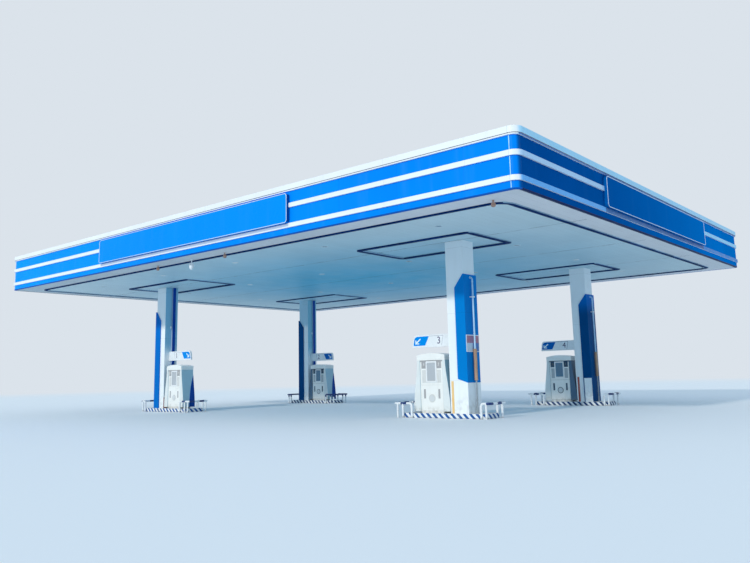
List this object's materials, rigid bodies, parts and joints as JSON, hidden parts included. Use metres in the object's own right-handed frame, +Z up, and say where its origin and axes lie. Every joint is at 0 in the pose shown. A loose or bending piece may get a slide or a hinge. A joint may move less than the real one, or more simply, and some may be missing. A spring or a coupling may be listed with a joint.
{
  "type": "filling station canopy",
  "caption": "Flat filling station canopy with a banded blue fascia and white coping on square columns, with islands, guards, dispensers and number boards.",
  "frame": {"origin": "ground level under the middle of the roof", "axes": "+X along the front towards the right, +Y from the front to the back, +Z up"},
  "size_m": [30.61, 22.235, 8.27],
  "materials": {
    "azure_panel": "satin",
    "blue_panel": "satin",
    "white_trim": "satin",
    "ceiling_panel": "satin",
    "navy_strip": "satin",
    "lamp_lens": "matte",
    "white_plastic": "gloss",
    "brown_wrapping": "matte",
    "zinc_sheet": "satin",
    "primed_steel": "matte",
    "zinc_section": "satin",
    "column_cladding": "satin",
    "column_blue": "satin",
    "caution_sheet": "matte",
    "notice_print": "matte",
    "tan_sleeve": "matte",
    "trunking_blue": "satin",
    "board_white": "gloss",
    "island_concrete": "matte",
    "guard_paint": "satin",
    "dispenser_white": "satin",
    "cheek_blue": "satin",
    "display_glass": "gloss"
  },
  "bodies": {
    "root": {"fascia_front": "azure_panel", "fascia_back": "azure_panel", "fascia_corners": "azure_panel", "sign_box_front": "azure_panel", "fascia_left": "blue_panel", "fascia_right": "blue_panel", "sign_box_left": "blue_panel", "sign_box_right": "blue_panel", "coping": "white_trim", "stripe_upper": "white_trim", "stripe_lower": "white_trim", "ceiling": "ceiling_panel", "ceiling_border": "navy_strip", "column_loops": "navy_strip", "dispenser_fins": "navy_strip", "ceiling_lights": "lamp_lens", "dome_camera": "white_plastic", "downpipes": "white_plastic", "pipe_brackets": "white_plastic", "wrapped_cameras": "brown_wrapping", "roof_deck_front": "zinc_sheet", "roof_deck_back": "zinc_sheet", "roof_gutter": "zinc_sheet", "girders": "primed_steel", "cross_beams": "primed_steel", "purlins": "zinc_section", "ceiling_rails": "zinc_section", "ceiling_hangers": "zinc_section", "column_front_left": "column_cladding", "column_front_right": "column_cladding", "column_back_left": "column_cladding", "column_back_right": "column_cladding", "base_panels": "column_cladding", "column_wraps": "column_blue", "column_markers": "caution_sheet", "notice_plate": "notice_print", "pipe_sleeves": "tan_sleeve", "cable_trunking": "trunking_blue", "number_boards": "board_white", "islands": "island_concrete", "guards_inner": "guard_paint", "guards_outer": "guard_paint", "dispenser_front_left": "dispenser_white", "dispenser_front_right": "dispenser_white", "dispenser_back_left": "dispenser_white", "dispenser_back_right": "dispenser_white", "dispenser_heads": "dispenser_white", "dispenser_cheeks": "cheek_blue", "dispenser_screens": "display_glass"}
  },
  "joints": []
}
